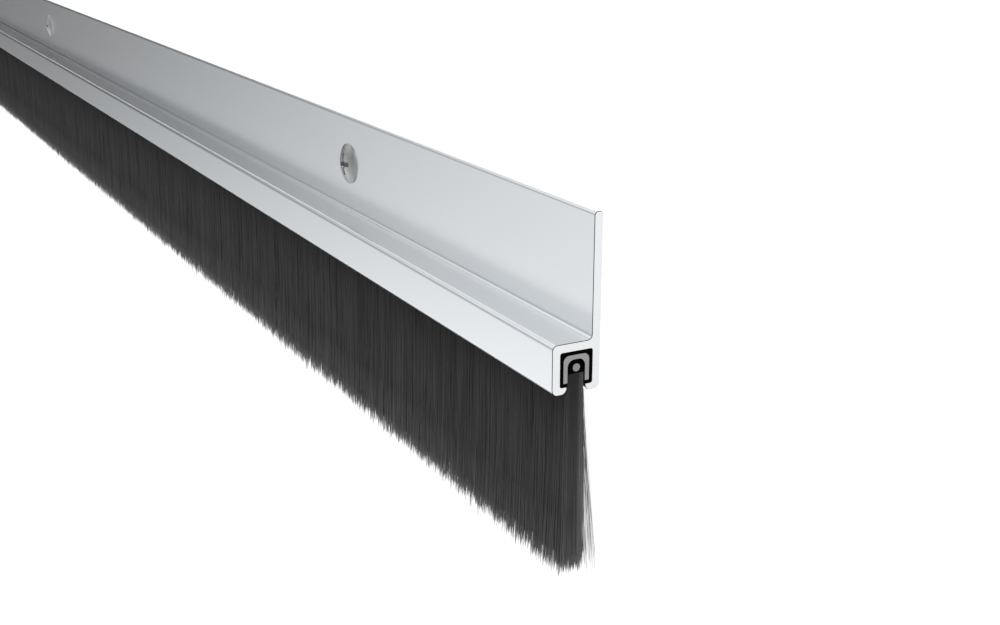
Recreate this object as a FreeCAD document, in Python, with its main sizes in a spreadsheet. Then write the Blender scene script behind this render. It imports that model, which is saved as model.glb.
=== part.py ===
import FreeCAD, Part
import Sketcher
import math
import os

# A brush door sweep, lying on its back. Lengths are in millimetres.
# +X runs along the bar, +Y points from the brush to the flange's free edge, and
# +Z points out of the front face. The origin is the centre of the back face,
# which is the face that goes against the door.

SIZES = {
    # The aluminium extrusion
    "carrier_length": 914.0,
    "carrier_height": 31.0,
    "flange_thickness": 1.7,
    "flange_edge_round": 0.75,
    "root_fillet": 0.9,
    "channel_wall": 1.6,
    "channel_corner_round": 0.95,
    "cavity_corner_round": 0.35,
    "lip_thickness": 1.35,
    "lip_round": 1.12,
    "end_deburr": 0.1,
    # The black liner in the channel
    "liner_wall": 0.5,
    "slide_clearance": 0.05,
    # The folded steel clamp of the strip brush
    "clamp_width": 5.0,
    "clamp_height": 4.85,
    "clamp_thickness": 0.78,
    "clamp_outer_round": 1.1,
    "clamp_inner_round": 1.3,
    # The core wire and the bristles folded round it
    "wire_diameter": 1.4,
    "wire_clearance": 0.05,
    "bristle_fold": 0.7,
    "bristle_clearance": 0.1,
    "bristle_free_length": 34.8,
    "bristle_tip_width": 4.8,
    "slot_clearance": 0.18,
    # The screws in the flange
    "screw_count": 3.0,
    "screw_end_distance": 106.0,
    "screw_edge_distance": 11.0,
    "screw_shank_diameter": 4.2,
    "screw_hole_clearance": 0.2,
    "screw_head_diameter": 9.2,
    "screw_head_height": 1.6,
    "screw_head_rim": 0.25,
    "recess_span": 5.2,
    "recess_width": 1.1,
    "recess_depth": 1.1,
    "recess_taper": 8.0,
    "recess_centre_diameter": 2.4,
    "recess_centre_depth": 2.0,
    "recess_centre_floor": 0.6,
}

SCREW_NAMES = ("screw_far", "screw_middle", "screw_near")
SCREW_TURNS = (14.0, -6.0, 5.0)

# A round may take this share of the wall that it is cut into, at most.
ROUND_SHARE = 0.48

POSITION_TOLERANCE = 1e-4
FULL_TURN = 360.0

doc = FreeCAD.newDocument("brush_door_sweep")
sheet = doc.addObject("Spreadsheet::Sheet", "sizes")


class Size:
    """A length that carries both its number and the sheet formula that gives it."""

    def __init__(self, value, formula):
        self.value = value
        self.formula = formula

    def __add__(self, other):
        other = as_size(other)
        return Size(self.value + other.value, f"({self.formula} + {other.formula})")

    def __sub__(self, other):
        other = as_size(other)
        return Size(self.value - other.value, f"({self.formula} - {other.formula})")

    def __mul__(self, other):
        other = as_size(other)
        return Size(self.value * other.value, f"({self.formula} * {other.formula})")

    def __truediv__(self, other):
        other = as_size(other)
        return Size(self.value / other.value, f"({self.formula} / {other.formula})")

    def __neg__(self):
        return Size(-self.value, f"(0 - {self.formula})")


def as_size(number):
    """A Size, from a Size or a plain number."""
    if isinstance(number, Size):
        return number
    return Size(number, f"{number}")


def least(first, second):
    """The smaller of two sizes."""
    first = as_size(first)
    second = as_size(second)
    return Size(min(first.value, second.value), f"min({first.formula}; {second.formula})")


def fill_sheet():
    """Write the driving sizes to the sheet, with an alias each."""
    for row, (alias, value) in enumerate(SIZES.items(), start=1):
        sheet.set(f"A{row}", alias)
        sheet.set(f"B{row}", f"{value}")
        sheet.setAlias(f"B{row}", alias)
    doc.recompute()


def size(alias):
    """The Size of one cell of the sheet."""
    return Size(SIZES[alias], f"sizes.{alias}")


def new_body(label):
    """A body for one piece."""
    body = doc.addObject("PartDesign::Body", label)
    body.Label = label
    return body


def origin_feature(body, role):
    """The body's own plane or axis that has this role."""
    return [feature for feature in body.Origin.OriginFeatures if feature.Role == role][0]


def new_sketch(body, name, plane):
    """An empty sketch on one of the body's origin planes."""
    sketch = body.newObject("Sketcher::SketchObject", f"{body.Name}_{name}")
    sketch.AttachmentSupport = [(origin_feature(body, plane), "")]
    sketch.MapMode = "FlatFace"
    return sketch


def bind(sketch, kind, geometry, end, length):
    """Hold one coordinate or radius of the sketch to its sheet formula."""
    if kind in ("Radius", "Diameter"):
        constraint = Sketcher.Constraint(kind, geometry, length.value)
    else:
        constraint = Sketcher.Constraint(kind, -1, 1, geometry, end, length.value)
    index = sketch.addConstraint(constraint)
    sketch.setExpression(f"Constraints[{index}]", length.formula)


def draw_outline(sketch, corners, bows=None):
    """A closed outline through the corners, each held to its two sizes.

    bows gives the arcs: the number of an edge, to the (across, up) values of a
    point it passes through and the one size that holds its centre.
    """
    bows = bows or {}
    points = [FreeCAD.Vector(across.value, up.value, 0) for across, up in corners]
    count = len(points)
    for index, start in enumerate(points):
        finish = points[(index + 1) % count]
        if index in bows:
            middle, _, _ = bows[index]
            arc = Part.Arc(start, FreeCAD.Vector(middle[0], middle[1], 0), finish)
            sketch.addGeometry(arc)
        else:
            sketch.addGeometry(Part.LineSegment(start, finish))
    ends = [edge_ends(sketch, index, points[index]) for index in range(count)]
    for index, (across, up) in enumerate(corners):
        previous = (index - 1) % count
        joint = Sketcher.Constraint("Coincident", previous, ends[previous][1], index, ends[index][0])
        sketch.addConstraint(joint)
        bind(sketch, "DistanceX", index, ends[index][0], across)
        bind(sketch, "DistanceY", index, ends[index][0], up)
    for index, (_, kind, length) in bows.items():
        bind(sketch, kind, index, 3, length)


def edge_ends(sketch, index, start):
    """Which end of a sketch edge is its start: an arc may be stored the other way."""
    if (sketch.getPoint(index, 1) - start).Length < POSITION_TOLERANCE:
        return 1, 2
    return 2, 1


def draw_circle(sketch, across, up, diameter):
    """A circle held to its centre and diameter."""
    centre = FreeCAD.Vector(across.value, up.value, 0)
    circle = Part.Circle(centre, FreeCAD.Vector(0, 0, 1), diameter.value / 2)
    index = sketch.addGeometry(circle)
    bind(sketch, "DistanceX", index, 3, across)
    bind(sketch, "DistanceY", index, 3, up)
    bind(sketch, "Diameter", index, 0, diameter)


def pad_along_bar(body, sketch):
    """The section drawn out over the bar's whole length, half each way."""
    pad = body.newObject("PartDesign::Pad", f"{body.Name}_length")
    pad.Profile = sketch
    pad.SideType = "Symmetric"
    pad.setExpression("Length", length.formula)
    doc.recompute()
    return pad


def cut_through(body, sketch, name):
    """A pocket that goes right through, both ways."""
    pocket = body.newObject("PartDesign::Pocket", f"{body.Name}_{name}")
    pocket.Profile = sketch
    pocket.SideType = "Symmetric"
    pocket.Type = "ThroughAll"
    doc.recompute()
    return pocket


def long_edges(feature, lines):
    """Names of the edges that run along X through the given (y, z) sizes."""
    names = []
    for number, edge in enumerate(feature.Shape.Edges, start=1):
        first = edge.Vertexes[0].Point
        last = edge.Vertexes[-1].Point
        for y, z in lines:
            near_first = math.hypot(first.y - y.value, first.z - z.value)
            near_last = math.hypot(last.y - y.value, last.z - z.value)
            if max(near_first, near_last) < POSITION_TOLERANCE:
                names.append(f"Edge{number}")
    if len(names) != len(lines):
        raise RuntimeError(f"{feature.Name}: {len(names)} edges found for {len(lines)} lines")
    return names


def end_edges(feature):
    """Names of the edges that lie in the two end faces of the bar."""
    reach = length.value / 2
    return [
        f"Edge{number}"
        for number, edge in enumerate(feature.Shape.Edges, start=1)
        if abs(abs(edge.CenterOfMass.x) - reach) < POSITION_TOLERANCE
    ]


def deburr_ends(body, feature, width):
    """Break the sawn edges at both ends of the bar."""
    chamfer = body.newObject("PartDesign::Chamfer", f"{body.Name}_deburr")
    chamfer.Base = (feature, end_edges(feature))
    chamfer.setExpression("Size", width.formula)
    doc.recompute()
    return chamfer


def round_long_edges(body, feature, lines, radius, name):
    """Round the edges that run along the bar."""
    fillet = body.newObject("PartDesign::Fillet", f"{body.Name}_{name}")
    fillet.Base = (feature, long_edges(feature, lines))
    fillet.setExpression("Radius", radius.formula)
    doc.recompute()
    return fillet


fill_sheet()

# Sizes worked out from the driving ones

length = size("carrier_length")
liner_space = size("liner_wall") + size("slide_clearance") * 2

# Across the channel, along Z
cavity_width = size("clamp_width") + liner_space * 2
cavity_back = size("channel_wall")
cavity_front = cavity_back + cavity_width
channel_front = cavity_front + size("channel_wall")
brush_line = cavity_back + cavity_width / 2
clamp_inner_width = size("clamp_width") - size("clamp_thickness") * 2
bristle_width = clamp_inner_width - size("bristle_clearance") * 2
slot_width = bristle_width + size("slot_clearance") * 2
slot_back = brush_line - slot_width / 2
slot_front = brush_line + slot_width / 2

# Up the carrier, along Y
lip_bottom = -size("carrier_height") / 2
flange_top = size("carrier_height") / 2
cavity_bottom = lip_bottom + size("lip_thickness")
clamp_bottom = cavity_bottom + liner_space
clamp_top = clamp_bottom + size("clamp_height")
cavity_top = clamp_top + liner_space
channel_top = cavity_top + size("channel_wall")
clamp_inner_top = clamp_top - size("clamp_thickness")
bristle_top = clamp_inner_top - size("bristle_clearance")
wire_height = bristle_top - size("bristle_fold") - size("wire_diameter") / 2
bristle_tips = lip_bottom - size("bristle_free_length")
screw_height = flange_top - size("screw_edge_distance")

# Rounds, each limited by the wall that it is cut into
lip_width = size("channel_wall") + (cavity_width - slot_width) / 2
lip_wall = least(size("lip_thickness") * 2, lip_width)
lip_round = least(size("lip_round"), lip_wall * ROUND_SHARE - size("end_deburr"))
flange_edge_round = least(size("flange_edge_round"), size("flange_thickness") * ROUND_SHARE)
clamp_inner_round = least(size("clamp_inner_round"), clamp_inner_width * ROUND_SHARE)
bristle_round = least(clamp_inner_round, bristle_width * ROUND_SHARE)

# Screws
screw_hole_diameter = size("screw_shank_diameter") + size("screw_hole_clearance") * 2
screw_first = -length / 2 + size("screw_end_distance")
screw_run = length - size("screw_end_distance") * 2
head_seat = size("flange_thickness")
head_top = head_seat + size("screw_head_height")


def make_carrier():
    """The extrusion: an L-shaped outline, its T-slot, the rounds and the screw holes."""
    body = new_body("carrier_profile")

    section = new_sketch(body, "section", "YZ_Plane")
    zero = as_size(0.0)
    draw_outline(section, [
        (lip_bottom, zero),
        (flange_top, zero),
        (flange_top, size("flange_thickness")),
        (channel_top, size("flange_thickness")),
        (channel_top, channel_front),
        (lip_bottom, channel_front),
    ])
    pad_along_bar(body, section)

    slot = new_sketch(body, "slot_section", "YZ_Plane")
    below = lip_bottom - size("lip_thickness")
    draw_outline(slot, [
        (below, slot_back),
        (cavity_bottom, slot_back),
        (cavity_bottom, cavity_back),
        (cavity_top, cavity_back),
        (cavity_top, cavity_front),
        (cavity_bottom, cavity_front),
        (cavity_bottom, slot_front),
        (below, slot_front),
    ])
    solid = cut_through(body, slot, "slot")

    lip_edges = [
        (lip_bottom, zero),
        (lip_bottom, slot_back),
        (lip_bottom, slot_front),
        (lip_bottom, channel_front),
    ]
    solid = round_long_edges(body, solid, lip_edges, lip_round, "lips")
    cavity_edges = [
        (cavity_bottom, cavity_back),
        (cavity_bottom, cavity_front),
        (cavity_top, cavity_back),
        (cavity_top, cavity_front),
    ]
    cavity_round = size("cavity_corner_round")
    solid = round_long_edges(body, solid, cavity_edges, cavity_round, "cavity_corners")
    root_edge = [(channel_top, size("flange_thickness"))]
    solid = round_long_edges(body, solid, root_edge, size("root_fillet"), "root")
    corner_edge = [(channel_top, channel_front)]
    corner_round = size("channel_corner_round")
    solid = round_long_edges(body, solid, corner_edge, corner_round, "channel_corner")
    flange_edges = [(flange_top, zero), (flange_top, size("flange_thickness"))]
    solid = round_long_edges(body, solid, flange_edges, flange_edge_round, "flange_edge")
    deburr_ends(body, solid, size("end_deburr"))

    hole_sketch = new_sketch(body, "hole_circle", "XY_Plane")
    draw_circle(hole_sketch, screw_first, screw_height, screw_hole_diameter)
    hole = cut_through(body, hole_sketch, "hole")
    pattern = body.newObject("PartDesign::LinearPattern", f"{body.Name}_holes")
    pattern.Originals = [hole]
    pattern.Direction = (origin_feature(body, "X_Axis"), [""])
    pattern.setExpression("Length", screw_run.formula)
    pattern.setExpression("Occurrences", size("screw_count").formula)
    body.Tip = pattern
    doc.recompute()
    return body


def make_liner():
    """The sleeve that fills the space between the channel and the clamp."""
    body = new_body("channel_liner")
    clearance = size("slide_clearance")
    outer_back = cavity_back + clearance
    outer_front = cavity_front - clearance
    outer_bottom = cavity_bottom + clearance
    outer_top = cavity_top - clearance
    inner_back = outer_back + size("liner_wall")
    inner_front = outer_front - size("liner_wall")
    inner_bottom = outer_bottom + size("liner_wall")
    inner_top = outer_top - size("liner_wall")

    section = new_sketch(body, "section", "YZ_Plane")
    draw_outline(section, [
        (outer_bottom, outer_back),
        (outer_top, outer_back),
        (outer_top, outer_front),
        (outer_bottom, outer_front),
        (outer_bottom, slot_front),
        (inner_bottom, slot_front),
        (inner_bottom, inner_front),
        (inner_top, inner_front),
        (inner_top, inner_back),
        (inner_bottom, inner_back),
        (inner_bottom, slot_back),
        (outer_bottom, slot_back),
    ])
    solid = pad_along_bar(body, section)

    outer_edges = [
        (outer_bottom, outer_back),
        (outer_top, outer_back),
        (outer_top, outer_front),
        (outer_bottom, outer_front),
    ]
    outer_round = size("cavity_corner_round") - clearance
    solid = round_long_edges(body, solid, outer_edges, outer_round, "outer_corners")
    inner_edges = [(inner_top, inner_front), (inner_top, inner_back)]
    inner_round = size("clamp_outer_round") + clearance
    round_long_edges(body, solid, inner_edges, inner_round, "inner_corners")
    return body


def make_clamp():
    """The steel strip folded to a channel, with its legs pointing at the slot."""
    body = new_body("brush_clamp")
    half_outer = size("clamp_width") / 2
    half_inner = clamp_inner_width / 2

    section = new_sketch(body, "section", "YZ_Plane")
    draw_outline(section, [
        (clamp_bottom, brush_line - half_outer),
        (clamp_top, brush_line - half_outer),
        (clamp_top, brush_line + half_outer),
        (clamp_bottom, brush_line + half_outer),
        (clamp_bottom, brush_line + half_inner),
        (clamp_inner_top, brush_line + half_inner),
        (clamp_inner_top, brush_line - half_inner),
        (clamp_bottom, brush_line - half_inner),
    ])
    solid = pad_along_bar(body, section)

    outer_edges = [(clamp_top, brush_line - half_outer), (clamp_top, brush_line + half_outer)]
    outer_round = size("clamp_outer_round")
    solid = round_long_edges(body, solid, outer_edges, outer_round, "outer_bends")
    inner_edges = [
        (clamp_inner_top, brush_line + half_inner),
        (clamp_inner_top, brush_line - half_inner),
    ]
    round_long_edges(body, solid, inner_edges, clamp_inner_round, "inner_bends")
    return body


def make_wire():
    """The core wire, as long as the clamp."""
    body = new_body("core_wire")
    section = new_sketch(body, "section", "YZ_Plane")
    draw_circle(section, wire_height, brush_line, size("wire_diameter"))
    pad_along_bar(body, section)
    return body


def make_bristles():
    """The bristles: folded over the wire, through the slot, and spread at the tips."""
    body = new_body("bristles")
    half_width = bristle_width / 2
    half_tips = size("bristle_tip_width") / 2
    front = brush_line + half_width
    back = brush_line - half_width
    tips_front = brush_line + half_tips
    tips_back = brush_line - half_tips

    # Each side leaves the lips straight and bows outwards to the tips, so the
    # bow's centre is level with the lips.
    run = size("bristle_free_length").value
    spread = half_tips.value - half_width.value
    bow_radius = (run ** 2 + spread ** 2) / (2 * spread)
    half_turn = math.asin(run / bow_radius) / 2
    middle_y = lip_bottom.value - bow_radius * math.sin(half_turn)
    middle_spread = bow_radius * (1 - math.cos(half_turn))

    section = new_sketch(body, "section", "YZ_Plane")
    draw_outline(section, [
        (bristle_top, back),
        (bristle_top, front),
        (lip_bottom, front),
        (bristle_tips, tips_front),
        (bristle_tips, tips_back),
        (lip_bottom, back),
    ], {
        2: ((middle_y, front.value + middle_spread), "DistanceX", lip_bottom),
        4: ((middle_y, back.value - middle_spread), "DistanceX", lip_bottom),
    })
    solid = pad_along_bar(body, section)
    fold_edges = [(bristle_top, back), (bristle_top, front)]
    round_long_edges(body, solid, fold_edges, bristle_round, "fold")

    wire_sketch = new_sketch(body, "wire_space", "YZ_Plane")
    wire_space = size("wire_diameter") + size("wire_clearance") * 2
    draw_circle(wire_sketch, wire_height, brush_line, wire_space)
    cut_through(body, wire_sketch, "wire_bore")
    return body


def make_screw(label, number, turn):
    """A domed screw with a cross recess, cut off level with the back face."""
    body = new_body(label)
    zero = as_size(0.0)
    shank = size("screw_shank_diameter") / 2
    head = size("screw_head_diameter") / 2
    rim = head_seat + size("screw_head_rim")
    dome_rise = size("screw_head_height") - size("screw_head_rim")
    dome_radius = (head * head + dome_rise * dome_rise) / (dome_rise * 2)
    half_turn = math.asin(head.value / dome_radius.value) / 2
    dome_middle = (
        dome_radius.value * math.sin(half_turn),
        head_top.value - dome_radius.value * (1 - math.cos(half_turn)),
    )

    section = new_sketch(body, "half_section", "XZ_Plane")
    draw_outline(section, [
        (zero, zero),
        (shank, zero),
        (shank, head_seat),
        (head, head_seat),
        (head, rim),
        (zero, head_top),
    ], {4: (dome_middle, "DistanceX", zero)})
    turned = body.newObject("PartDesign::Revolution", f"{body.Name}_turned")
    turned.Profile = section
    turned.ReferenceAxis = (section, ["V_Axis"])
    turned.Angle = FULL_TURN
    doc.recompute()

    cross = new_sketch(body, "recess_cross", "XY_Plane")
    cross.setExpression("AttachmentOffset.Base.z", head_top.formula)
    reach = size("recess_span") / 2
    half = size("recess_width") / 2
    draw_outline(cross, [
        (reach, -half),
        (reach, half),
        (half, half),
        (half, reach),
        (-half, reach),
        (-half, half),
        (-reach, half),
        (-reach, -half),
        (-half, -half),
        (-half, -reach),
        (half, -reach),
        (half, -half),
    ])
    recess = body.newObject("PartDesign::Pocket", f"{body.Name}_recess")
    recess.Profile = cross
    recess.Type = "Length"
    recess.setExpression("Length", size("recess_depth").formula)
    recess.setExpression("TaperAngle", (-size("recess_taper")).formula)
    doc.recompute()

    # The recess runs on down the middle as a narrow cone
    centre = new_sketch(body, "recess_centre", "XZ_Plane")
    mouth = size("recess_centre_diameter") / 2
    floor = size("recess_centre_floor") / 2
    bottom = head_top - size("recess_centre_depth")
    draw_outline(centre, [
        (zero, bottom),
        (floor, bottom),
        (mouth, head_top),
        (zero, head_top),
    ])
    socket = body.newObject("PartDesign::Groove", f"{body.Name}_socket")
    socket.Profile = centre
    socket.ReferenceAxis = (centre, ["V_Axis"])
    socket.Angle = FULL_TURN

    step = screw_run / (size("screw_count") - 1)
    body.Placement.Rotation = FreeCAD.Rotation(FreeCAD.Vector(0, 0, 1), turn)
    body.setExpression("Placement.Base.x", (screw_first + step * number).formula)
    body.setExpression("Placement.Base.y", screw_height.formula)
    doc.recompute()
    return body


def check_document(pieces):
    """Stop if any feature failed or any piece is not one whole solid."""
    for item in doc.Objects:
        if "Invalid" in item.State or "Error" in item.State:
            raise RuntimeError(f"{item.Label} failed: {item.State}")
    for piece in pieces:
        if piece.Shape.isNull() or not piece.Shape.isValid():
            raise RuntimeError(f"{piece.Label} has no valid shape")
        if len(piece.Shape.Solids) != 1:
            raise RuntimeError(f"{piece.Label} has {len(piece.Shape.Solids)} solids")


pieces = [make_carrier(), make_liner(), make_clamp(), make_wire(), make_bristles()]
for number, (label, turn) in enumerate(zip(SCREW_NAMES, SCREW_TURNS)):
    pieces.append(make_screw(label, number, turn))

doc.recompute()
check_document(pieces)
os.makedirs("parts", exist_ok=True)
for piece in pieces:
    piece.Shape.exportStep(f"parts/{piece.Label}.step")
    print(f"{piece.Label}: {piece.Shape.Volume:.1f} mm3")
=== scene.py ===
import math

import bmesh
import bpy
import numpy as np
from mathutils import Euler, Matrix, Vector


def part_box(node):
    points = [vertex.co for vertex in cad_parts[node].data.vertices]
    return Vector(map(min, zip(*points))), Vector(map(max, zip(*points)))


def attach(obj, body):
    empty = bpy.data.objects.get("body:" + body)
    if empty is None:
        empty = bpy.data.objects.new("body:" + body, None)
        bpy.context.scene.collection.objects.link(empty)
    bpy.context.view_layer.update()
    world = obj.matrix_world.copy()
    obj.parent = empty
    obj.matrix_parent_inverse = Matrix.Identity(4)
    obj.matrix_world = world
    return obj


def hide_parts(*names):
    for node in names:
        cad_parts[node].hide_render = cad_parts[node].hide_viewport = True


# The looks of a brush door sweep that lies on its back. Lengths are in metres.
# +X runs along the bar, +Y points from the brush to the flange's free edge, and
# +Z points out of the front face. The floor is at Z = 0.

MM = 0.001

# Camera: fitted to the photo with the sweep upright, then laid back with it
CAMERA_LENS = 48.9
CAMERA_SENSOR = 36.0
CAMERA_CLIP = 5.0 * MM
CAMERA_YAW = 28.35
CAMERA_PITCH = 17.70
CAMERA_ROLL = 0.06
CAMERA_FROM_END = 182.6 * MM
CAMERA_FROM_BACK = 117.8 * MM
CAMERA_ABOVE_LIPS = 82.6 * MM

# Sizes of the CAD part that the boxes of its nodes don't tell
CLAMP_THICKNESS = 0.78 * MM
BRISTLE_CLEARANCE = 0.1 * MM
HEAD_RISE = 1.35 * MM

# Filaments: rings of corners at shares of the length, each with its share of the
# radius, and then a point. They lean over by a power of the way from root to tip
FILAMENT_RADIUS = 0.085 * MM
FILAMENT_SIDES = 3
LONG_STATIONS = (0.0, 0.5, 0.97)
LONG_TAPER = (1.0, 0.9, 0.45)
SHORT_STATIONS = (0.0, 0.9)
SHORT_TAPER = (0.85, 0.45)
LEAN_POWER = 1.7
STRAIGHT_POWER = 1.0
SPIN_SPREAD = 0.18
SEED = 20240611

# How many filaments a piece of each kind holds
LAYER_COUNT = 11500
TIPS_COUNT = 19500
END_COUNT = 800
WISP_COUNT = 90
STRAY_COUNT = 500

# Layers: how thick one is, as a share of half the bundle, and how much of the clamp's
# opening their roots fill, less of it where the bundle's corners are round
LAYER_SHARE = 0.14
ROOT_FILL = 0.64
ROOT_FILL_MORE = 0.33

# How far the fold goes on past the wire, and how deep behind the lips filaments start
FOLD_PAST_WIRE = 0.3 * MM
ROOTS_BEHIND_LIPS = 1.1 * MM
LOOSE_ROOTS_BEHIND_LIPS = 0.5 * MM

# Clumps: filaments lean to the middle of the nearest clump by up to a share of the way
CLUMP_SPACING = 2.6 * MM
CLUMP_PULL = 0.06

# The trimmed edge: most filaments end short of the CAD bundle's edge, and some of
# them are longer. Each wave along the edge has a length and a height
TRIM_SHORT = 1.85 * MM
TRIM_SPREAD = 0.4 * MM
LONGER_SHARE = 0.34
LONGER_BY = 1.15 * MM
LONGER_SPREAD = 0.55 * MM
LONGER_MOST = 2.6 * MM
EDGE_WAVES = (
    (61.0 * MM, 0.10 * MM),
    (17.0 * MM, 0.10 * MM),
    (5.3 * MM, 0.08 * MM),
    (2.1 * MM, 0.05 * MM),
)

# The bundle's ends: its filaments thin out, get shorter and draw together
END_INSET = 0.1 * MM
END_THINNING = 0.9 * MM
END_ROUND = 1.2 * MM
END_ROUND_REACH = 3.6 * MM
CORNER_THINNING = 0.25
CORNER_REACH = 2.2 * MM

# Where painted shade and painted light change the black of the filaments, counted from
# the lips, from the trimmed edge, from the bundle's ends and back from the brush's middle plane
LIP_SHADE_REACH = 16.0 * MM
TRIM_MARGIN = 1.0 * MM
LOWER_REACH = 11.0 * MM
TIP_REACH = 3.5 * MM
PALE_END_FROM = 3.0 * MM
PALE_END_TO = 1.0 * MM
PALE_BACK_FROM = 0.3 * MM
PALE_BACK_TO = 2.0 * MM

# The screws' recess and its painted shade: the share of the head's area it lies in, and
# the depths at which the painted shade starts and is darkest
RECESS_SHARE = 0.4
RECESS_TOP = 0.12 * MM
RECESS_BOTTOM = 0.6 * MM

# Tints: shares of red, green and blue
COOL = (0.985, 1.0, 1.012)
WARM = (1.02, 1.0, 0.98)
SCREW_TINT = (1.0, 1.0, 0.97)
DOME_TINT = (0.98, 1.0, 1.02)

# The range that most of a noise's values lie in
NOISE_LOW = 0.3
NOISE_HIGH = 0.7

# Where a mix node has its two inputs and its result, for plain values and for colours
MIX_SOCKETS = {"FLOAT": (2, 3, 0), "RGBA": (6, 7, 2)}

# The studio dome's brightness by how far a direction turns away from the bar's own,
# from 0 along it to 1 square to it, on the brush's side and on the flange's side. It
# is dim along the bar past its far end
DOME_BRUSH_SIDE = (
    (0.0, 0.02),
    (0.19, 0.175),
    (0.25, 0.305),
    (0.34, 0.52),
    (0.47, 0.79),
    (0.60, 0.99),
    (0.74, 0.89),
    (0.97, 0.40),
    (1.0, 0.35),
)
DOME_FLANGE_SIDE = (
    (0.0, 0.0),
    (0.19, 0.01),
    (0.25, 0.065),
    (0.34, 0.245),
    (0.47, 0.68),
    (0.60, 0.98),
    (0.74, 0.88),
    (0.97, 0.40),
    (1.0, 0.35),
)

# The same past the bar's near end, which lights the sawn end and the brush's end
DOME_NEAR_END = (
    (0.0, 0.85),
    (0.25, 0.85),
    (0.42, 0.35),
    (0.75, 0.85),
    (1.0, 0.85),
)

# How the brightness changes round the bar, except past its near end: from -1 level on
# the brush's side, over 0 straight up, to 1 level on the flange's side, with a dark
# seam past the top
DOME_ROUND = (
    (-1.0, 0.60),
    (-0.85, 1.20),
    (-0.60, 1.20),
    (-0.50, 0.92),
    (-0.24, 0.92),
    (0.05, 0.62),
    (0.17, 0.34),
    (0.29, 0.66),
    (0.46, 0.94),
    (0.60, 1.04),
    (0.75, 1.12),
    (0.97, 1.12),
    (1.0, 0.50),
)

# How steeply one set of the dome's levels gives way to the next
DOME_BLEND = 4.0

# The lamp near the bar's near end
SOFTBOX_PLACE = (0.85, -0.35, 0.55)
SOFTBOX_AIM = (0.42, -0.03, 0.0)
SOFTBOX_SIZE = 1.2
SOFTBOX_POWER = 4.8

# The floor: its glow for the camera, its grey for light, and a small drop that keeps it
# clear of the sweep's back face
FLOOR_GLOW = 0.93
FLOOR_LEVEL = 0.32
FLOOR_SIZE = 20.0
FLOOR_DROP = 0.02 * MM

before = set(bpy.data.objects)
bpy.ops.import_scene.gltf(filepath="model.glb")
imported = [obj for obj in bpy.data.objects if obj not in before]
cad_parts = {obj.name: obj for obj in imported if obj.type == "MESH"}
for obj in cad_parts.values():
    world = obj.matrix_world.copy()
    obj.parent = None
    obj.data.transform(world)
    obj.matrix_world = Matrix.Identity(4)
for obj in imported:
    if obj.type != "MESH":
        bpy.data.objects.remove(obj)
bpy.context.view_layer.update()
carrier_low, carrier_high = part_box("carrier_profile")
clamp_low, clamp_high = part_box("brush_clamp")
wire_low, wire_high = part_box("core_wire")
bristle_low, bristle_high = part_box("bristles")

# Levels along Y, places and half widths that follow from the CAD boxes
LIP_LEVEL = carrier_low.y
END_X = carrier_high.x
BRUSH_LINE = (clamp_low.z + clamp_high.z) / 2
WIRE_LEVEL = (wire_low.y + wire_high.y) / 2
WIRE_RADIUS = (wire_high.z - wire_low.z) / 2
NECK_HALF = (clamp_high.z - clamp_low.z) / 2 - CLAMP_THICKNESS - BRISTLE_CLEARANCE
TIP_HALF = (bristle_high.z - bristle_low.z) / 2
FREE_LENGTH = LIP_LEVEL - bristle_low.y
FOLD_END = WIRE_LEVEL - WIRE_RADIUS - FOLD_PAST_WIRE
ROOT_LEVEL = LIP_LEVEL + ROOTS_BEHIND_LIPS
LOOSE_ROOT_LEVEL = LIP_LEVEL + LOOSE_ROOTS_BEHIND_LIPS

rng = np.random.default_rng(SEED)


def grey(level, tint=(1.0, 1.0, 1.0)):
    """A colour of one level, tinted."""
    return (level * tint[0], level * tint[1], level * tint[2], 1.0)


def add_object(name, data):
    """A new object in the scene."""
    piece = bpy.data.objects.new(name, data)
    bpy.context.scene.collection.objects.link(piece)
    return piece


class Graph:
    """The node tree of a material or a world, with one call for each kind of node."""

    def __init__(self, owner):
        owner.use_nodes = True
        self.nodes = owner.node_tree.nodes
        self.links = owner.node_tree.links
        self.nodes.clear()
        self.coordinates = self.nodes.new("ShaderNodeTexCoord")

    def feed(self, socket, value):
        """Link a socket, or give it a plain value."""
        if isinstance(value, bpy.types.NodeSocket):
            self.links.new(value, socket)
        else:
            socket.default_value = value

    def axis(self, source, name):
        """One axis of a coordinate output."""
        node = self.nodes.new("ShaderNodeSeparateXYZ")
        self.feed(node.inputs[0], self.coordinates.outputs[source])
        return node.outputs[name]

    def math(self, operation, first, second=0.0):
        """One step of arithmetic on one or two values."""
        node = self.nodes.new("ShaderNodeMath")
        node.operation = operation
        self.feed(node.inputs[0], first)
        self.feed(node.inputs[1], second)
        return node.outputs[0]

    def mix(self, factor, first, second, kind="RGBA"):
        """A colour between two colours, or with kind FLOAT a value between two values."""
        node = self.nodes.new("ShaderNodeMix")
        node.data_type = kind
        first_socket, second_socket, result = MIX_SOCKETS[kind]
        self.feed(node.inputs["Factor"], factor)
        self.feed(node.inputs[first_socket], first)
        self.feed(node.inputs[second_socket], second)
        return node.outputs[result]

    def ramp(self, value, steps, tint=(1.0, 1.0, 1.0)):
        """Levels between steps of (place, level), with places from 0 to 1."""
        node = self.nodes.new("ShaderNodeValToRGB")
        stops = node.color_ramp.elements
        while len(stops) < len(steps):
            stops.new(0.5)
        for stop, (place, level) in zip(stops, steps):
            stop.position = place
            stop.color = grey(level, tint)
        self.feed(node.inputs["Fac"], value)
        return node.outputs["Color"]


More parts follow.
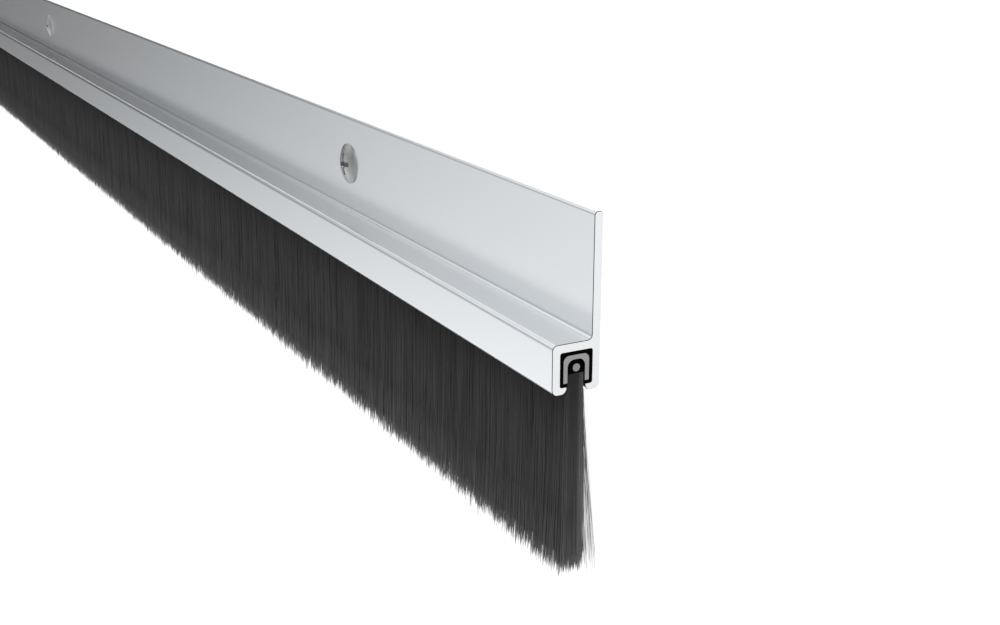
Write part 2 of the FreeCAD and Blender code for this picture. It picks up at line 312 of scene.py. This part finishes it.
class Surface(Graph):
    """A material's node tree, which ends in one plain shader."""

    def __init__(self, name):
        self.material = bpy.data.materials.new(name)
        super().__init__(self.material)
        self.output = self.nodes.new("ShaderNodeOutputMaterial")
        self.shader = self.nodes.new("ShaderNodeBsdfPrincipled")
        self.feed(self.output.inputs["Surface"], self.shader.outputs["BSDF"])

    def set(self, **values):
        """Set the shader's own sockets: underscores stand for spaces."""
        for key, value in values.items():
            self.feed(self.shader.inputs[key.replace("_", " ")], value)

    def noise(self, scale, detail=3.0):
        """Noise on the object, whose cells are 1/scale metres long on each axis."""
        stretch = self.nodes.new("ShaderNodeMapping")
        stretch.inputs["Scale"].default_value = scale
        self.feed(stretch.inputs["Vector"], self.coordinates.outputs["Object"])
        node = self.nodes.new("ShaderNodeTexNoise")
        node.inputs["Scale"].default_value = 1.0
        node.inputs["Detail"].default_value = detail
        self.feed(node.inputs["Vector"], stretch.outputs["Vector"])
        return node.outputs["Fac"]

    def remap(self, value, low, high, to_low, to_high):
        """Map low..high to to_low..to_high, held at the ends."""
        node = self.nodes.new("ShaderNodeMapRange")
        self.feed(node.inputs["Value"], value)
        node.inputs["From Min"].default_value = low
        node.inputs["From Max"].default_value = high
        node.inputs["To Min"].default_value = to_low
        node.inputs["To Max"].default_value = to_high
        return node.outputs["Result"]

    def spread(self, noise, low, high):
        """Map a noise to low..high."""
        return self.remap(noise, NOISE_LOW, NOISE_HIGH, low, high)

    def bump(self, height, distance, strength, under=None):
        """A bumpy normal, on top of the one under it."""
        node = self.nodes.new("ShaderNodeBump")
        node.inputs["Strength"].default_value = strength
        node.inputs["Distance"].default_value = distance
        self.feed(node.inputs["Height"], height)
        if under is not None:
            self.feed(node.inputs["Normal"], under)
        return node.outputs["Normal"]


def aluminium_material():
    """Satin anodised extrusion, with draw lines along the bar and sawn ends."""
    graph = Surface("satin_anodised_aluminium")
    draw_lines = graph.noise((3.0, 5200.0, 5200.0), detail=4.0)
    grain = graph.noise((7000.0, 9000.0, 9000.0), detail=2.0)
    clouds = graph.noise((9.0, 60.0, 60.0))
    saw_marks = graph.noise((200.0, 1500.0, 9000.0))

    # The sawn ends, and a rim of painted shade on their broken edges towards +Y and +Z
    end_facing = graph.math("ABSOLUTE", graph.axis("Normal", "X"))
    end_mask = graph.remap(end_facing, 0.85, 0.95, 0.0, 1.0)
    sloping = graph.remap(end_facing, 0.40, 0.60, 0.0, 1.0)
    outward = graph.math("MAXIMUM", graph.axis("Normal", "Y"), graph.axis("Normal", "Z"))
    outer = graph.remap(outward, 0.2, 0.5, 0.0, 1.0)
    painted_rim_shade = graph.math("MULTIPLY", graph.math("SUBTRACT", sloping, end_mask), outer)

    face = graph.mix(clouds, grey(0.84, COOL), grey(0.88, COOL))
    face = graph.mix(graph.remap(draw_lines, 0.35, 0.65, 0.0, 0.2), face, grey(0.79, COOL))
    sawn = graph.mix(saw_marks, grey(0.72, COOL), grey(0.79, COOL))
    colour = graph.mix(end_mask, face, sawn)
    # Painted shade: the broken edges towards +Y and +Z go near black
    colour = graph.mix(painted_rim_shade, colour, grey(0.06))

    face_rough = graph.spread(grain, 0.20, 0.24)
    sawn_rough = graph.spread(saw_marks, 0.38, 0.50)
    rough = graph.mix(end_mask, face_rough, sawn_rough, kind="FLOAT")

    normal = graph.bump(draw_lines, 0.002 * MM, 0.4)
    normal = graph.bump(grain, 0.0006 * MM, 0.4, under=normal)
    graph.set(Base_Color=colour, Metallic=1.0, Roughness=rough, Normal=normal)
    return graph.material


def liner_material():
    """Black extruded plastic."""
    graph = Surface("black_plastic_liner")
    grain = graph.noise((2000.0, 9000.0, 9000.0))
    colour = graph.mix(grain, grey(0.001), grey(0.003))
    graph.set(Base_Color=colour, Roughness=graph.spread(grain, 0.7, 0.85))
    graph.set(Specular_IOR_Level=0.01, Normal=graph.bump(grain, 0.01 * MM, 0.4))
    return graph.material


def fold_material():
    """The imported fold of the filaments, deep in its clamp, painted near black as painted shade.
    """
    graph = Surface("black_nylon_fold_painted_shade")
    grain = graph.noise((1500.0, 6000.0, 6000.0))
    colour = graph.mix(grain, grey(0.0005), grey(0.002))
    graph.set(Base_Color=colour, Roughness=graph.spread(grain, 0.6, 0.8))
    graph.set(Specular_IOR_Level=0.01, Normal=graph.bump(grain, 0.02 * MM, 0.5))
    return graph.material


def steel_material(name, level, rough):
    """Dull zinc-coated steel with a mottled coat."""
    graph = Surface(name)
    mottle = graph.noise((900.0, 900.0, 900.0), detail=4.0)
    lines = graph.noise((20.0, 6000.0, 6000.0))
    colour = graph.mix(mottle, grey(level * 0.85), grey(level * 1.15))
    graph.set(Base_Color=colour, Metallic=1.0)
    graph.set(Roughness=graph.spread(mottle, rough - 0.05, rough + 0.08))
    graph.set(Normal=graph.bump(lines, 0.004 * MM, 0.5))
    return graph.material


def screw_material():
    """Satin stainless steel, with painted shade down in the recess."""
    graph = Surface("satin_stainless_screw")
    mottle = graph.noise((1500.0, 1500.0, 1500.0))
    turned = graph.noise((700.0, 700.0, 12000.0))
    colour = graph.mix(mottle, grey(0.54, SCREW_TINT), grey(0.60, SCREW_TINT))

    # How deep a point lies under the head's dome, for whichever screw is nearest. The
    # middle screw stands at X = 0, so the near one's place is the screws' pitch
    low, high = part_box("screw_near")
    pitch = (low.x + high.x) / 2
    middle_y = (low.y + high.y) / 2
    head_radius = (high.x - low.x) / 2
    along = graph.axis("Object", "X")
    nearest = graph.math("ROUND", graph.math("DIVIDE", along, pitch))
    off_x = graph.math("SUBTRACT", along, graph.math("MULTIPLY", nearest, pitch))
    off_y = graph.math("SUBTRACT", graph.axis("Object", "Y"), middle_y)
    square_x = graph.math("MULTIPLY", off_x, off_x)
    square_y = graph.math("MULTIPLY", off_y, off_y)
    off_square = graph.math("ADD", square_x, square_y)
    fall = graph.math("MULTIPLY", off_square, HEAD_RISE / head_radius ** 2)
    dome = graph.math("SUBTRACT", high.z, fall)
    depth = graph.math("SUBTRACT", dome, graph.axis("Object", "Z"))
    # Painted shade: down in the recess the colour grows darker with depth under the dome, towards
    # grey 0.20
    inside = graph.math("LESS_THAN", fall, HEAD_RISE * RECESS_SHARE)
    recess_shade = graph.remap(depth, RECESS_TOP, RECESS_BOTTOM, 0.0, 0.6)
    deep = graph.math("MULTIPLY", inside, recess_shade)
    colour = graph.mix(deep, colour, grey(0.20, SCREW_TINT))

    rougher = graph.math("MULTIPLY", deep, 0.4)
    rough = graph.math("ADD", graph.spread(mottle, 0.36, 0.44), rougher)
    normal = graph.bump(turned, 0.003 * MM, 0.5)
    graph.set(Base_Color=colour, Metallic=1.0, Roughness=rough, Normal=normal)
    return graph.material


def filament_material(name, dark, light, shade=0.12):
    """Black nylon, streaked from filament to filament between two levels.

    It has painted shade at the lips, by a share of shade, and painted light that makes it
    paler at the tips and at the back of the bundle's ends.
    """
    graph = Surface(name)
    streaks = graph.noise((5200.0, 18.0, 5200.0), detail=2.0)
    broad = graph.noise((420.0, 12.0, 420.0), detail=2.0)
    shaded = grey(dark * 0.3, WARM)
    pale = grey(light * 3.0, WARM)
    palest = grey(0.27, WARM)
    level = graph.mix(graph.spread(streaks, 0.0, 1.0), grey(dark, WARM), grey(light, WARM))
    patches = graph.remap(broad, 0.35, 0.65, 0.0, 0.2)
    colour = graph.mix(patches, level, grey(dark * 0.85, WARM))

    height = graph.axis("Object", "Y")
    # Painted shade, darker towards the lips
    lip_shade = graph.remap(height, LIP_LEVEL - LIP_SHADE_REACH, LIP_LEVEL, 0.0, shade)
    colour = graph.mix(lip_shade, colour, shaded)

    # Painted light, paler towards the trimmed tips
    trimmed = bristle_low.y + TRIM_MARGIN
    lower = graph.remap(height, trimmed, trimmed + LOWER_REACH, 0.45, 0.0)
    near_tip = graph.remap(height, trimmed, trimmed + TIP_REACH, 0.65, 0.0)
    colour = graph.mix(graph.math("ADD", lower, near_tip), colour, pale)

    # Painted light, paler at the back of the bundle's ends
    from_middle = graph.math("ABSOLUTE", graph.axis("Object", "X"))
    at_end = graph.remap(from_middle, END_X - PALE_END_FROM, END_X - PALE_END_TO, 0.0, 1.0)
    depth = graph.axis("Object", "Z")
    behind = graph.remap(depth, BRUSH_LINE - PALE_BACK_TO, BRUSH_LINE - PALE_BACK_FROM, 0.9, 0.0)
    colour = graph.mix(graph.math("MULTIPLY", at_end, behind), colour, palest)

    graph.set(Base_Color=colour, Roughness=graph.spread(streaks, 0.55, 0.65))
    graph.set(Specular_IOR_Level=0.08, Normal=graph.bump(streaks, 0.01 * MM, 0.1))
    return graph.material


def add_brush_piece(name, mesh, material):
    """A piece of the brush, with its material, its body and its CAD node."""
    piece = add_object(name, mesh)
    piece.data.materials.append(material)
    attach(piece, "root")
    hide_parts("bristles")


def points_at(x, y, z):
    """One point for each filament, from three arrays or plain numbers."""
    return np.stack(np.broadcast_arrays(x, y, z), axis=1)


def clump_shift(x, pull):
    """How far each filament leans towards the middle of its clump at the tip."""
    count = int((2 * END_X) / CLUMP_SPACING)
    centres = np.sort(rng.uniform(-END_X, END_X, count))
    nearest = np.searchsorted(centres, x).clip(1, count - 1)
    left = centres[nearest - 1]
    right = centres[nearest]
    centre = np.where(np.abs(x - left) < np.abs(x - right), left, right)
    return (centre - x) * pull


def edge_wave(x):
    """The slow unevenness of the trimmed edge along the bar."""
    wave = np.zeros_like(x)
    for wavelength, height in EDGE_WAVES:
        phase = rng.uniform(0, 2 * math.pi)
        wave += height * np.sin(2 * math.pi * x / wavelength + phase)
    return wave


def closeness(x, reach):
    """How close a place is to the bundle's ends: 1 at an end, 0 further in than a reach."""
    from_end = END_X - np.abs(x)
    return np.clip(1.0 - from_end / reach, 0.0, 1.0) ** 2


def trimmed_length(x):
    """Each filament's free length: most end near the trimmed edge, and some hang past it."""
    count = len(x)
    length = FREE_LENGTH - TRIM_SHORT + edge_wave(x) + rng.normal(0, TRIM_SPREAD, count)
    longer = rng.random(count) < LONGER_SHARE
    more = np.minimum(rng.exponential(LONGER_SPREAD, longer.sum()), LONGER_MOST)
    length[longer] += LONGER_BY + more
    return length - END_ROUND * closeness(x, END_ROUND_REACH)


def thin_ends(x):
    """Places along the bar, which thin out over the last two millimetres at its ends."""
    limit = END_X - END_INSET - np.abs(rng.normal(0, END_THINNING, len(x)))
    return np.clip(x, -limit, limit)


def corner_round(x):
    """How much thinner the bundle's tips get near its ends, where its corners are round."""
    return 1.0 - CORNER_THINNING * closeness(x, CORNER_REACH)


def filament_faces(stations):
    """The triangles of one filament: its closed root, its sides and its point."""
    faces = [(0, 1, 2)]
    for ring in range(stations - 1):
        for side in range(FILAMENT_SIDES):
            near = ring * FILAMENT_SIDES
            far = near + FILAMENT_SIDES
            after = (side + 1) % FILAMENT_SIDES
            faces.append((near + side, far + side, far + after))
            faces.append((near + side, far + after, near + after))
    last = (stations - 1) * FILAMENT_SIDES
    point = stations * FILAMENT_SIDES
    for side in range(FILAMENT_SIDES):
        faces.append((last + side, point, last + (side + 1) % FILAMENT_SIDES))
    return np.array(faces)


def triangle_mesh(name, points, triangles):
    """A smooth mesh of triangles."""
    mesh = bpy.data.meshes.new(name)
    mesh.vertices.add(len(points))
    mesh.vertices.foreach_set("co", points.astype(np.float32).ravel())
    mesh.loops.add(triangles.size)
    mesh.loops.foreach_set("vertex_index", triangles.astype(np.int32).ravel())
    mesh.polygons.add(len(triangles))
    mesh.polygons.foreach_set("loop_start", np.arange(0, triangles.size, 3, dtype=np.int32))
    mesh.polygons.foreach_set("loop_total", np.full(len(triangles), 3, dtype=np.int32))
    mesh.polygons.foreach_set("use_smooth", np.ones(len(triangles), dtype=bool))
    mesh.update()
    mesh.validate()
    return mesh


def filament_mesh(name, root, tip, radius, bow_x, bow_z, short=False, power=LEAN_POWER):
    """Closed three-sided filaments from their roots to their tips.

    With a power over 1 they leave their roots square to the bar and lean more and
    more, and with a power of 1 they are straight. The bows push their middles along
    the bar and out of the front.
    """
    stations, taper = (SHORT_STATIONS, SHORT_TAPER) if short else (LONG_STATIONS, LONG_TAPER)
    count = len(root)
    spin = rng.normal(math.pi / 2, SPIN_SPREAD, count)
    rings = []
    for station, share in zip(stations, taper):
        centre = root + (tip - root) * station
        lean = station ** power - station
        centre[:, 0] += (tip[:, 0] - root[:, 0]) * lean + bow_x * math.sin(math.pi * station)
        centre[:, 2] += (tip[:, 2] - root[:, 2]) * lean + bow_z * math.sin(math.pi * station)
        for side in range(FILAMENT_SIDES):
            angle = spin + 2 * math.pi * side / FILAMENT_SIDES
            corner = centre.copy()
            corner[:, 0] += radius * share * np.cos(angle)
            corner[:, 2] += radius * share * np.sin(angle)
            rings.append(corner)
    rings.append(tip)
    points = np.stack(rings, axis=1).reshape(-1, 3)
    first_points = (np.arange(count) * len(rings))[:, None, None]
    triangles = (filament_faces(len(stations))[None, :, :] + first_points).reshape(-1, 3)
    return triangle_mesh(name, points, triangles)


def bristle_layer(name, count, side, depth, material):
    """One layer of filaments over the bar's whole length.

    side is +1 for the front and -1 for the back, and depth is how far the layer
    lies inside the bundle, from 0 at its skin to 1 at its middle.
    """
    tip_scatter = 0.22 * MM
    tip_unevenness = 0.05
    past_end = 0.4 * MM
    held_back = 0.7
    x = thin_ends(rng.uniform(-END_X, END_X, count))
    share = 1.0 - depth - rng.uniform(0, LAYER_SHARE, count)
    fill = ROOT_FILL + ROOT_FILL_MORE * corner_round(x)
    root = points_at(x, ROOT_LEVEL, BRUSH_LINE + side * NECK_HALF * share * fill)
    pull = rng.uniform(0.0, CLUMP_PULL, count)
    tip_x = x + clump_shift(x, pull) + rng.normal(0, tip_scatter, count)
    over = np.maximum(np.abs(tip_x) - END_X - past_end, 0) * np.sign(tip_x)
    tip_y = LIP_LEVEL - trimmed_length(x)
    half = TIP_HALF * (share + rng.normal(0, tip_unevenness, count)) * corner_round(x)
    tip = points_at(tip_x - over * held_back, tip_y, BRUSH_LINE + side * half)
    bow_x = rng.normal(0, 0.07 * MM, count)
    bow_z = rng.normal(0, 0.05 * MM, count)
    mesh = filament_mesh(name, root, tip, FILAMENT_RADIUS, bow_x, bow_z)
    add_brush_piece(name, mesh, material)


def bristle_tips(name, count, material):
    """Short filaments that fill the bundle's middle near the trimmed edge."""
    widest = 0.97
    shortest = 5.0 * MM
    longest = 8.0 * MM
    tip_scatter = 0.25 * MM
    root_share = 0.86
    x = thin_ends(rng.uniform(-END_X, END_X, count))
    share = rng.uniform(-widest, widest, count)
    reach = rng.uniform(shortest, longest, count)
    tip_y = LIP_LEVEL - trimmed_length(x)
    tip_x = x + rng.normal(0, tip_scatter, count)
    spread = share * TIP_HALF * corner_round(x)
    root = points_at(x, tip_y + reach, BRUSH_LINE + spread * root_share)
    tip = points_at(tip_x, tip_y, BRUSH_LINE + spread)
    mesh = filament_mesh(name, root, tip, FILAMENT_RADIUS, 0.0, 0.0, short=True)
    add_brush_piece(name, mesh, material)


def bristle_end(name, count, direction, material):
    """The filaments seen on one end of the bundle, spreading a little past it."""
    widest = 0.93
    share_scatter = 0.07
    past_end = 0.18 * MM
    shorter_by = 0.5 * MM
    share = rng.uniform(-widest, widest, count) + rng.normal(0, share_scatter, count)
    inset = rng.uniform(0.1, 1.0, count) * MM
    root_x = direction * (END_X - inset)
    root_half = np.clip(share, -1.0, 1.0) * (NECK_HALF - FILAMENT_RADIUS)
    root = points_at(root_x, FOLD_END, BRUSH_LINE + root_half)
    spread = np.abs(rng.normal(0, past_end, count))
    tip_x = direction * (END_X - inset * 0.8 + spread)
    tip_y = LIP_LEVEL - trimmed_length(root_x) + shorter_by
    tip_half = share * TIP_HALF * rng.normal(1.0, 0.08, count) * corner_round(root_x)
    tip = points_at(tip_x, tip_y, BRUSH_LINE + tip_half)
    bow = rng.normal(0, 0.12 * MM, count)
    mesh = filament_mesh(name, root, tip, FILAMENT_RADIUS, bow * 0.5, bow)
    add_brush_piece(name, mesh, material)


def bristle_wisps(name, count, direction, material):
    """Thin, straight filaments that fan out of an end's back corner."""
    thinness = 0.26
    fan_start = TIP_HALF * 0.66
    fan_depth = 3.0 * MM
    fan_power = 1.3
    root_x = direction * (END_X - rng.uniform(0.05, 0.7, count) * MM)
    root_z = BRUSH_LINE - NECK_HALF * rng.uniform(0.55, 0.97, count)
    tip_x = root_x + direction * rng.uniform(-1.0, 2.2, count) * MM
    tip_y = LIP_LEVEL - FREE_LENGTH * rng.uniform(0.87, 1.02, count)
    off = fan_depth * rng.random(count) ** fan_power
    root = points_at(root_x, LOOSE_ROOT_LEVEL, root_z)
    tip = points_at(tip_x, tip_y, BRUSH_LINE - fan_start - off)
    bow = rng.normal(0, 0.15 * MM, count)
    radius = FILAMENT_RADIUS * thinness
    mesh = filament_mesh(name, root, tip, radius, bow, bow * 0.4, power=STRAIGHT_POWER)
    add_brush_piece(name, mesh, material)


def bristle_strays(name, count, material):
    """Loose filaments that stand off the bundle's front and back."""
    thinness = 0.8
    tip_scatter = 0.9 * MM
    limit = END_X - 0.2 * MM
    x = rng.uniform(-limit, limit, count)
    side = np.where(rng.random(count) < 0.5, -1.0, 1.0)
    tip_x = x + rng.normal(0, tip_scatter, count)
    tip_y = LIP_LEVEL - FREE_LENGTH + rng.uniform(-0.6, 3.0, count) * MM
    tip_half = TIP_HALF + rng.uniform(0.1, 1.3, count) * MM
    root = points_at(x, LOOSE_ROOT_LEVEL, BRUSH_LINE + side * NECK_HALF * 0.9)
    tip = points_at(tip_x, tip_y, BRUSH_LINE + side * tip_half)
    bow = rng.normal(0, 0.3 * MM, count)
    mesh = filament_mesh(name, root, tip, FILAMENT_RADIUS * thinness, bow, bow * 0.3)
    add_brush_piece(name, mesh, material)


def bundle_half(y):
    """Half the bundle's thickness at a level, even as far as the lips and then growing."""
    share = max(LIP_LEVEL - y, 0.0) / FREE_LENGTH
    return NECK_HALF + (TIP_HALF - NECK_HALF) * share ** LEAN_POWER


def extrude_section(name, loops, end, material):
    """A solid from -end to end along the bar, whose (y, z) loops are an outline and its bores."""
    work = bmesh.new()
    for loop in loops:
        ring = [work.verts.new((-end, y, z)) for y, z in loop]
        for index, vertex in enumerate(ring):
            work.edges.new((vertex, ring[(index + 1) % len(ring)]))
    filled = bmesh.ops.triangle_fill(work, use_beauty=True, use_dissolve=False, edges=work.edges[:])
    faces = [item for item in filled["geom"] if isinstance(item, bmesh.types.BMFace)]
    grown = bmesh.ops.extrude_face_region(work, geom=faces)
    moved = [item for item in grown["geom"] if isinstance(item, bmesh.types.BMVert)]
    bmesh.ops.translate(work, vec=(2 * end, 0, 0), verts=moved)
    bmesh.ops.recalc_face_normals(work, faces=work.faces[:])
    mesh = bpy.data.meshes.new(name)
    work.to_mesh(mesh)
    work.free()
    add_brush_piece(name, mesh, material)


def bristle_fold(name, material):
    """The filaments' fold over the wire, inside the clamp."""
    top_steps = 14
    bore_steps = 24
    wire_gap = 0.02 * MM
    short_of_ends = 0.03 * MM
    top_height = NECK_HALF * 0.9
    outline = []
    for step in range(top_steps + 1):
        angle = math.pi * step / top_steps
        y = bristle_high.y - top_height + top_height * math.sin(angle)
        outline.append((y, BRUSH_LINE - NECK_HALF * math.cos(angle)))
    outline.append((FOLD_END, BRUSH_LINE + NECK_HALF))
    outline.append((FOLD_END, BRUSH_LINE - NECK_HALF))
    bore_radius = WIRE_RADIUS + wire_gap
    bore = []
    for step in range(bore_steps):
        angle = 2 * math.pi * step / bore_steps
        y = WIRE_LEVEL + bore_radius * math.cos(angle)
        bore.append((y, BRUSH_LINE + bore_radius * math.sin(angle)))
    extrude_section(name, (outline, bore), END_X - short_of_ends, material)


def bristle_core(name, material):
    """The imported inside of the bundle, which stops short of the tips and the ends."""
    steps = 12
    fill = 0.92
    inset = 0.2 * MM
    short_of_tips = 5.0 * MM
    short_of_ends = 0.8 * MM
    stop = LIP_LEVEL - FREE_LENGTH + short_of_tips
    levels = [FOLD_END + (stop - FOLD_END) * step / steps for step in range(steps + 1)]
    front = [(y, BRUSH_LINE + bundle_half(y) * fill - inset) for y in levels]
    back = [(y, BRUSH_LINE - bundle_half(y) * fill + inset) for y in reversed(levels)]
    extrude_section(name, (front + back,), END_X - short_of_ends, material)


def dress_cad():
    """Materials for the CAD pieces that are shown as they are."""
    screw = screw_material()
    looks = {
        "carrier_profile": aluminium_material(),
        "channel_liner": liner_material(),
        "brush_clamp": steel_material("zinc_coated_clamp", level=0.31, rough=0.50),
        "core_wire": steel_material("zinc_coated_wire", level=0.25, rough=0.45),
        "screw_near": screw,
        "screw_middle": screw,
        "screw_far": screw,
    }
    for node, material in looks.items():
        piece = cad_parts[node]
        piece.data.materials.clear()
        piece.data.materials.append(material)


def dress_brush():
    """The brush: fold and core, two layers each side, the tips, the ends, wisps and strays."""
    hair = filament_material("black_nylon_filament", dark=0.053, light=0.060)
    # The under layers, the core, the ends and the wisps are the same nylon painted paler, as
    # painted light: the under layers and the core against the shade between the filaments. The ends
    # also get more painted shade at the lips
    under = filament_material("black_nylon_under_filament", dark=0.062, light=0.068)
    end_hair = filament_material("black_nylon_end_filament", dark=0.069, light=0.080, shade=0.3)
    wisp = filament_material("black_nylon_wisp", dark=0.07, light=0.10)
    core = filament_material("black_nylon_core", dark=0.075, light=0.083)
    bristle_fold("bristle_fold", fold_material())
    bristle_core("bristle_core", core)
    for side, word in ((1.0, "front"), (-1.0, "back")):
        bristle_layer(f"bristles_{word}_skin", LAYER_COUNT, side, 0.0, hair)
        bristle_layer(f"bristles_{word}_under", LAYER_COUNT, side, LAYER_SHARE, under)
    bristle_tips("bristle_tips", TIPS_COUNT, hair)
    for direction, word in ((1.0, "near"), (-1.0, "far")):
        bristle_end(f"bristles_{word}_end", END_COUNT, direction, end_hair)
        bristle_wisps(f"bristle_{word}_wisps", WISP_COUNT, direction, wisp)
    bristle_strays("bristle_strays", STRAY_COUNT, hair)


def make_floor():
    """A plain white floor that keeps the sweep's shadow."""
    graph = Surface("pale_floor")
    graph.nodes.remove(graph.shader)
    diffuse = graph.nodes.new("ShaderNodeBsdfDiffuse")
    graph.feed(diffuse.inputs["Color"], grey(FLOOR_LEVEL))
    paths = graph.nodes.new("ShaderNodeLightPath")
    seen = graph.math("MAXIMUM", paths.outputs["Is Camera Ray"], paths.outputs["Is Glossy Ray"])
    seen = graph.math("MAXIMUM", seen, paths.outputs["Is Transmission Ray"])
    glow = graph.nodes.new("ShaderNodeEmission")
    graph.feed(glow.inputs["Color"], grey(1.0))
    graph.feed(glow.inputs["Strength"], graph.math("MULTIPLY", seen, FLOOR_GLOW))
    total = graph.nodes.new("ShaderNodeAddShader")
    graph.feed(total.inputs[0], diffuse.outputs[0])
    graph.feed(total.inputs[1], glow.outputs[0])
    graph.feed(graph.output.inputs["Surface"], total.outputs[0])

    work = bmesh.new()
    bmesh.ops.create_grid(work, x_segments=1, y_segments=1, size=FLOOR_SIZE)
    mesh = bpy.data.meshes.new("floor")
    work.to_mesh(mesh)
    work.free()
    floor = add_object("floor", mesh)
    floor.location.z = -FLOOR_DROP
    floor.data.materials.append(graph.material)


def make_world():
    """A studio dome, plain white to the camera, that lights by the levels above."""
    world = bpy.data.worlds.new("studio_dome")
    bpy.context.scene.world = world
    graph = Graph(world)
    along = graph.axis("Generated", "X")
    across = graph.axis("Generated", "Y")
    up = graph.axis("Generated", "Z")

    # How far the direction turns away from the bar, and how far round it, from -1 to 1
    across_squared = graph.math("MULTIPLY", across, across)
    up_squared = graph.math("MULTIPLY", up, up)
    off_bar = graph.math("POWER", graph.math("ADD", across_squared, up_squared), 0.5)
    turn = graph.math("DIVIDE", across, graph.math("MAXIMUM", off_bar, 0.01))
    turn_share = graph.math("MULTIPLY", graph.math("ADD", turn, 1.0), 0.5)

    brush_side = graph.ramp(off_bar, DOME_BRUSH_SIDE, DOME_TINT)
    flange_side = graph.ramp(off_bar, DOME_FLANGE_SIDE, DOME_TINT)
    sides = graph.mix(graph.math("MULTIPLY", turn, DOME_BLEND), brush_side, flange_side)
    round_bar = [((place + 1.0) / 2, level) for place, level in DOME_ROUND]
    scaled = graph.nodes.new("ShaderNodeVectorMath")
    scaled.operation = "MULTIPLY"
    graph.feed(scaled.inputs[0], sides)
    graph.feed(scaled.inputs[1], graph.ramp(turn_share, round_bar))

    near_end = graph.ramp(off_bar, DOME_NEAR_END, DOME_TINT)
    dome = graph.mix(graph.math("MULTIPLY", along, DOME_BLEND), scaled.outputs[0], near_end)
    paths = graph.nodes.new("ShaderNodeLightPath")
    shown = graph.mix(paths.outputs["Is Camera Ray"], dome, grey(1.0))
    background = graph.nodes.new("ShaderNodeBackground")
    graph.feed(background.inputs["Color"], shown)
    output = graph.nodes.new("ShaderNodeOutputWorld")
    graph.feed(output.inputs["Surface"], background.outputs[0])


def make_softbox():
    """A soft lamp that fills the brush, and that the metal doesn't mirror."""
    light = bpy.data.lights.new("near_softbox", "AREA")
    light.shape = "RECTANGLE"
    light.size = SOFTBOX_SIZE
    light.size_y = SOFTBOX_SIZE
    light.energy = SOFTBOX_POWER
    lamp = add_object("near_softbox", light)
    lamp.location = SOFTBOX_PLACE
    towards = Vector(SOFTBOX_AIM) - Vector(SOFTBOX_PLACE)
    lamp.rotation_euler = towards.to_track_quat("-Z", "Y").to_euler()
    lamp.visible_glossy = False


def make_camera():
    """The photo's camera. It is set for the upright sweep and laid back with it."""
    data = bpy.data.cameras.new("photo_camera")
    data.lens = CAMERA_LENS
    data.sensor_width = CAMERA_SENSOR
    data.clip_start = CAMERA_CLIP
    camera = add_object("photo_camera", data)
    tilt = math.radians(90.0 - CAMERA_PITCH)
    turn = math.radians(90.0 - CAMERA_YAW)
    upright = (
        Matrix.Translation((CAMERA_FROM_END, -CAMERA_FROM_BACK, CAMERA_ABOVE_LIPS))
        @ Euler((tilt, 0.0, turn), "XYZ").to_matrix().to_4x4()
        @ Matrix.Rotation(math.radians(CAMERA_ROLL), 4, "Z")
    )
    laid_back = Matrix.Rotation(math.radians(-90.0), 4, "X")
    to_end = Matrix.Translation((END_X, LIP_LEVEL, 0.0))
    camera.matrix_world = to_end @ laid_back @ upright
    bpy.context.scene.camera = camera


bpy.context.scene.view_settings.view_transform = "Standard"
make_camera()
dress_cad()
dress_brush()
make_floor()
make_world()
make_softbox()
